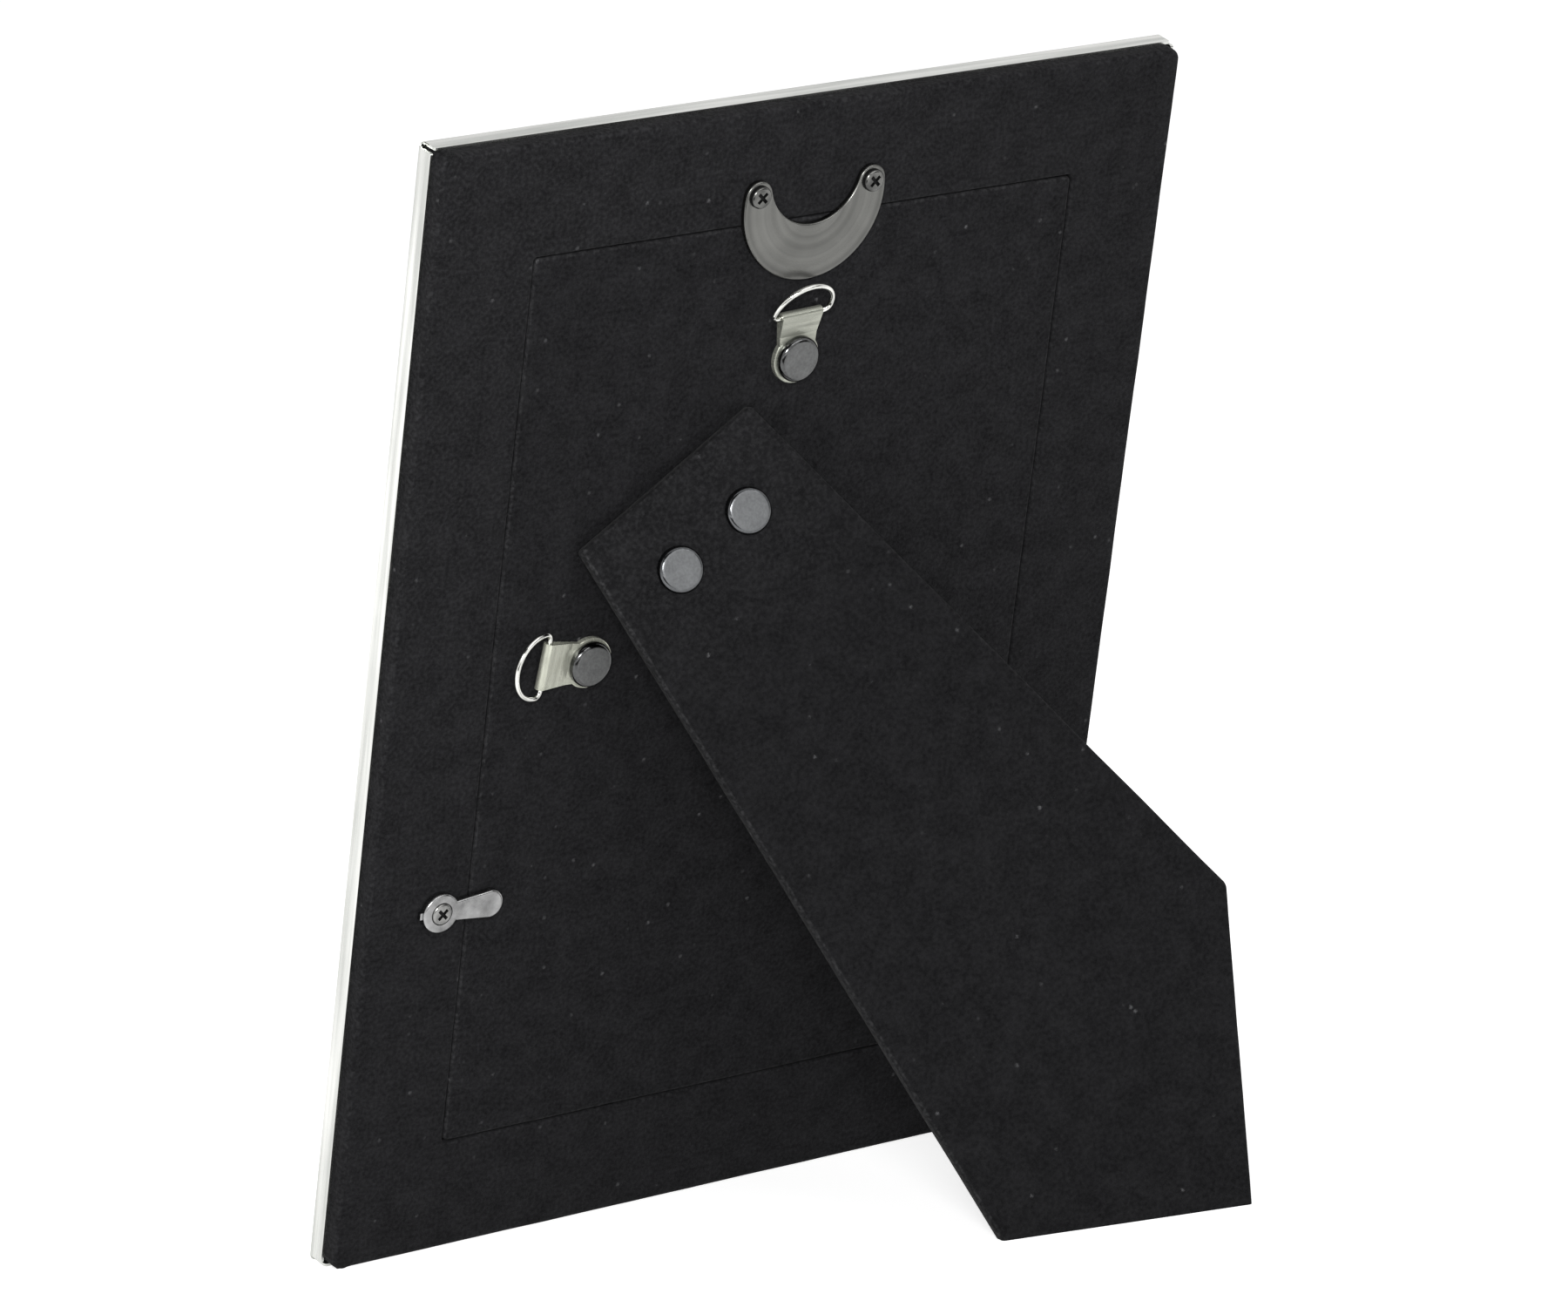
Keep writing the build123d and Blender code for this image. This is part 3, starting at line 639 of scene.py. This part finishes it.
def pane_glass():
    """Clear glass with a breath of smudges, which lets the lamps reach the print."""
    material, tree, shader, place = new_material("pane_glass")
    handled = use_group(tree, marks, place, smudge_scale=30.0, scratch_scale=120.0)
    tree.links.new(remap(tree, handled["Smudge"], 0.4, 1.0, 0.0, 0.06), shader.inputs["Roughness"])
    shader.inputs["Base Color"].default_value = (0.97, 0.99, 0.98, 1)
    shader.inputs["Transmission Weight"].default_value = 1.0
    shader.inputs["IOR"].default_value = 1.5
    clear = tree.nodes.new("ShaderNodeBsdfTransparent").outputs["BSDF"]
    rays = tree.nodes.new("ShaderNodeLightPath").outputs
    surface = shader.outputs["BSDF"]
    for passing in ("Is Shadow Ray", "Is Diffuse Ray"):
        mix = tree.nodes.new("ShaderNodeMixShader")
        tree.links.new(rays[passing], mix.inputs["Fac"])
        tree.links.new(surface, mix.inputs[1])
        tree.links.new(clear, mix.inputs[2])
        surface = mix.outputs["Shader"]
    tree.links.new(surface, tree.nodes["Material Output"].inputs["Surface"])
    return material


materials = {
    "velvet": velvet("black_velvet", back_middle, (0.0012, 0.0012, 0.0015), (0.0168, 0.0168, 0.0182)),
    "shell_metal": shell_metal(),
    "core_board": fibrous(
        "brown_fibreboard", (0.30, 0.20, 0.12), (0.19, 0.12, 0.07), grain=700.0, matt=0.85
    ),
    "glass": pane_glass(),
    "print_paper": fibrous(
        "bare_print_paper", (0.86, 0.85, 0.82), (0.80, 0.79, 0.76), grain=500.0, matt=0.7
    ),
    "filler_card": fibrous(
        "grey_filler_card", (0.52, 0.50, 0.46), (0.40, 0.38, 0.34), grain=600.0, matt=0.85
    ),
    "crescent_metal": turned_crescent(),
    "button_metal": plated(
        "button_metal", (0.37, 0.37, 0.37), (0.20, 0.20, 0.20), smooth=0.14, rough=0.34, smudge=400.0
    ),
    "ring_wire": plated(
        "ring_wire_metal", (0.80, 0.80, 0.76), (0.58, 0.58, 0.55), smooth=0.06, rough=0.18, smudge=300.0
    ),
    "hinge_metal": plated(
        "dark_hinge_metal", (0.10, 0.10, 0.10), (0.05, 0.05, 0.05), smooth=0.25, rough=0.45, smudge=200.0
    ),
}
# The leg's velvet is a darker copy of the board's velvet: painted shade that evens out the stronger light the leg
# takes
shaded_leg_velvet_finish = velvet("leg_velvet", leg_plane, (0.0018, 0.0018, 0.0021), (0.0120, 0.0120, 0.0130))
own_finishes = {
    # The top strap is a darker copy of the side strap's metal: painted shade that dims its bright reflection of
    # the table
    "hanger_strap_top": strap_metal(
        "shaded_strap_metal_top", HANGER_TURN_TOP, (0.39, 0.40, 0.345), (0.195, 0.20, 0.17)
    ),
    "hanger_strap_side": strap_metal(
        "strap_metal_side", HANGER_TURN_SIDE, (0.56, 0.57, 0.485), (0.29, 0.295, 0.245)
    ),
    "hanger_rivets": rivet_cap(
        "hanger_cap_metal", back_plane, HANGER_CAP_TOP, (0.110, 0.112, 0.112), (0.062, 0.063, 0.063)
    ),
    "leg_rivets": rivet_cap(
        "leg_cap_metal", leg_plane, LEG_CAP_TOP, (0.125, 0.129, 0.133), (0.080, 0.083, 0.086)
    ),
    "crescent_screws": screw_metal(
        "crescent_screw_metal", CRESCENT_SCREW_TOP, (0.17, 0.17, 0.163), (0.065, 0.065, 0.063)
    ),
    "turn_button_screws": screw_metal(
        "button_screw_metal", BUTTON_SCREW_TOP, (0.34, 0.34, 0.33), (0.15, 0.15, 0.147)
    ),
}

for subpart in frame["record"]["subparts"]:
    finish = own_finishes.get(subpart["node"]) or materials[subpart["material_slot"]]
    nodes[subpart["node"]].material_slots[0].material = finish


# Velvet pieces and glass


def velvet_border():
    """Cloth stretched over the border of the back board and down its inner and outer sides."""
    opening = Vector((BOARD_WIDTH / 2 - BORDER, BOARD_HEIGHT / 2 - BORDER))
    piece = velvet_blank("velvet_border", BOARD_WIDTH, BOARD_HEIGHT)
    pick_faces(piece, lambda middle, normal: abs(middle.x) < opening.x and abs(middle.y) < opening.y)
    bpy.ops.mesh.delete(type="FACE")
    turn_down_edges(BOARD_DEPTH)

    def by_outside(middle):
        return abs(middle.x) > opening.x + BORDER / 2 or abs(middle.y) > opening.y + BORDER / 2

    pick_edges(piece, at_corner(BOARD_WIDTH, BOARD_HEIGHT))
    round_edges(BOARD_CORNER, steps=8)
    pick_edges(piece, at_corner(2 * opening.x, 2 * opening.y))
    round_edges(OPENING_CORNER, steps=4)
    pick_rim(piece, 1, by_outside)
    round_edges(BOARD_EDGE, steps=5)
    pick_rim(piece, 1, lambda middle: not by_outside(middle))
    round_edges(OPENING_EDGE, steps=3)

    def wear_and_highlight(point):
        rim = BOARD_RIM_WORN if on_rim(point, BOARD_EDGE) else 0.0
        # The pile is made lighter towards the board's upper left corner
        leftward = 0.5 - point.x / BOARD_WIDTH
        upward = 0.5 + point.y / BOARD_HEIGHT
        return rim + BOARD_UPPER_LEFT_LIGHTER * leftward * upward

    mark_wear_and_highlight(piece, wear_and_highlight)
    finish_velvet(piece, back_middle, "frame", "border_velvet", materials["velvet"])


def velvet_panel():
    """Cloth stretched over the removable panel and down its sides."""
    width = BOARD_WIDTH - 2 * BORDER - 2 * SEAM
    height = BOARD_HEIGHT - 2 * BORDER - 2 * SEAM
    piece = velvet_blank("velvet_panel", width, height)
    bpy.ops.object.mode_set(mode="EDIT")
    turn_down_edges(PANEL_DEPTH)
    pick_edges(piece, at_corner(width, height))
    round_edges(PANEL_CORNER, steps=4)
    pick_rim(piece, 1)
    round_edges(PANEL_EDGE, steps=3)
    # The panel's rim gets a painted highlight where its edge catches light
    mark_wear_and_highlight(piece, lambda point: PANEL_RIM_HIGHLIGHT if on_rim(point, PANEL_EDGE) else 0.0)
    plane = back_middle @ Matrix.Translation((0, 0, PANEL_TOP))
    finish_velvet(piece, plane, "frame", "panel_velvet", materials["velvet"])


def cut_leg(point, normal, keep_both=False):
    """Cuts the leg along a plane and keeps what lies behind it, or both halves."""
    bpy.ops.object.mode_set(mode="EDIT")
    bpy.ops.mesh.select_all(action="SELECT")
    bpy.ops.mesh.bisect(
        plane_co=point,
        plane_no=normal,
        use_fill=not keep_both,
        clear_outer=not keep_both,
        threshold=TOUCH,
    )


def velvet_leg():
    """Cloth around the easel leg, its foot flat on the table."""
    middle_level = LEG_OFF + LEG_THICKNESS / 2
    piece = plain_block(
        "velvet_leg",
        (LEG_REACH, LEG_REACH, LEG_THICKNESS),
        (0, LEG_TOP - LEG_REACH / 2, middle_level),
    )
    cut_leg((-LEG_TOP_HALF, LEG_TOP, 0), (-1, LEG_FLARE_LEFT, 0))
    cut_leg((LEG_TOP_HALF, LEG_TOP, 0), (1, LEG_FLARE_RIGHT, 0))
    cut_leg((LEG_END_REACH / cos(LEG_TURN), 0, 0), (cos(LEG_TURN), -sin(LEG_TURN), 0))
    pick_edges(piece, is_upright)
    round_edges(LEG_CORNER, steps=4)
    for facing in (1, -1):
        pick_rim(piece, facing)
        round_edges(LEG_EDGE, steps=4)
    to_leg = leg_plane.inverted()
    table_down = (to_leg.to_3x3() @ Vector((0, 0, -1))).normalized()
    cut_leg(to_leg.translation, table_down)
    for step in range(1, round(LEG_REACH / CLOTH_CELL)):
        cut_leg((0, LEG_TOP - step * CLOTH_CELL, 0), (0, 1, 0), keep_both=True)
        cut_leg((-LEG_REACH / 2 + step * CLOTH_CELL, 0, 0), (1, 0, 0), keep_both=True)
    rim_half = LEG_THICKNESS / 2 - RIM_START * LEG_EDGE

    def wear_and_highlight(point):
        fall = LEG_TOP - point.y
        left_gap = point.x + LEG_TOP_HALF + fall * LEG_FLARE_LEFT
        rim = LEG_RIM_WORN
        if left_gap < 2 * LEG_EDGE:
            rim = LEG_LEFT_WORN - LEG_LEFT_FADE * min(1.0, fall / LEG_REACH)
        near_top = LEG_TOP_WORN * max(0.0, 1 - fall / LEG_TOP_WORN_REACH)
        return near_top + (rim if abs(point.z - middle_level) < rim_half else 0.0)

    mark_wear_and_highlight(piece, wear_and_highlight)
    finish_velvet(piece, leg_plane, "leg", "leg_velvet", shaded_leg_velvet_finish)


def clear_pane():
    """Glass pane with eased edges."""
    pane = plain_block(
        "clear_pane",
        (PANE_WIDTH, PANE_HEIGHT, PANE_HIGH - PANE_LOW),
        (0, 0, (PANE_HIGH + PANE_LOW) / 2),
    )
    pick_edges(pane, is_upright)
    round_edges(PANE_CORNER, steps=3)
    for facing in (1, -1):
        pick_rim(pane, facing)
        round_edges(PANE_EDGE, steps=2)
    lay_on(pane, back_middle, PANE_SMOOTH, materials["glass"])
    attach(pane, "frame")
    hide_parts("glass_pane")


velvet_border()
velvet_panel()
velvet_leg()
clear_pane()


# Table, lights and camera


def seen_rays(tree):
    """1 for rays from the camera and for those that metal and glass send on."""
    rays = tree.nodes.new("ShaderNodeLightPath").outputs
    seen = combine(tree, "MAXIMUM", rays["Is Camera Ray"], rays["Is Glossy Ray"])
    return combine(tree, "MAXIMUM", seen, rays["Is Transmission Ray"])


def stage_sheet(name, width, height, tone, matt):
    """Plain flat sheet of the stage."""
    bpy.ops.object.select_all(action="DESELECT")
    bpy.ops.mesh.primitive_plane_add(size=1)
    sheet = bpy.context.object
    sheet.name = name
    sheet.scale = (width, height, 1)
    material = bpy.data.materials.new(name)
    material.use_nodes = True
    shader = material.node_tree.nodes["Principled BSDF"]
    shader.inputs["Base Color"].default_value = (tone, tone, tone, 1)
    shader.inputs["Roughness"].default_value = matt
    sheet.data.materials.append(material)
    return sheet


def table():
    """White table that goes on past the picture and keeps a faint shadow."""
    top = stage_sheet("table", TABLE_SIZE, TABLE_SIZE, tone=0.90, matt=0.9)
    tree = top.active_material.node_tree
    shader = tree.nodes["Principled BSDF"]
    shader.inputs["Specular IOR Level"].default_value = 0.1
    shader.inputs["Emission Color"].default_value = (1, 1, 1, 1)
    glow = remap(tree, seen_rays(tree), 0.0, 1.0, 0.0, TABLE_GLOW)
    tree.links.new(glow, shader.inputs["Emission Strength"])


def face_frame(holder, place):
    """Puts a lamp or card at a place, turned to the frame."""
    holder.location = place
    holder.rotation_euler = (CAMERA_AIM - Vector(place)).to_track_quat("-Z", "Y").to_euler()


def dark_card(name, width, height):
    """Dark card that only shows as a reflection in the metal."""
    card = stage_sheet(name, width, height, tone=0.01, matt=1.0)
    card.visible_camera = False
    card.visible_diffuse = False
    card.visible_transmission = False
    card.visible_shadow = False
    return card


def soft_lamp(name, place, width, height, power):
    """Soft lamp turned to the frame."""
    lamp = bpy.data.lights.new(name, "AREA")
    lamp.shape = "RECTANGLE"
    lamp.size = width
    lamp.size_y = height
    lamp.energy = power
    holder = bpy.data.objects.new(name, lamp)
    face_frame(holder, place)
    bpy.context.scene.collection.objects.link(holder)


def studio():
    """White surroundings, soft lamps behind and before the frame, and dark cards that the caps mirror."""
    world = bpy.data.worlds.new("studio")
    bpy.context.scene.world = world
    world.use_nodes = True
    tree = world.node_tree
    strength = remap(tree, seen_rays(tree), 0.0, 1.0, SKY_LIGHT, SKY_SEEN)
    tree.links.new(strength, tree.nodes["Background"].inputs["Strength"])
    tree.nodes["Background"].inputs["Color"].default_value = (1, 1, 1, 1)
    for name, (place, width, height, power) in LAMPS.items():
        soft_lamp(name, place, width, height, power)
    for name, (place, width, height) in UPRIGHT_CARDS.items():
        face_frame(dark_card(name, width, height), place)
    place, width, height = LYING_CARD
    dark_card("dark_card_low", width, height).location = place


def camera():
    """Camera at the photograph's place."""
    lens = bpy.data.cameras.new("camera")
    lens.sensor_fit = "HORIZONTAL"
    lens.sensor_width = SENSOR_WIDTH
    lens.lens = LENS
    holder = bpy.data.objects.new("camera", lens)
    holder.location = CAMERA_PLACE
    facing = (CAMERA_AIM - CAMERA_PLACE).to_track_quat("-Z", "Y")
    holder.rotation_euler = (facing @ Quaternion((0, 0, 1), CAMERA_ROLL)).to_euler()
    bpy.context.scene.collection.objects.link(holder)
    bpy.context.scene.camera = holder


table()
studio()
camera()
bpy.context.scene.view_settings.view_transform = "Standard"
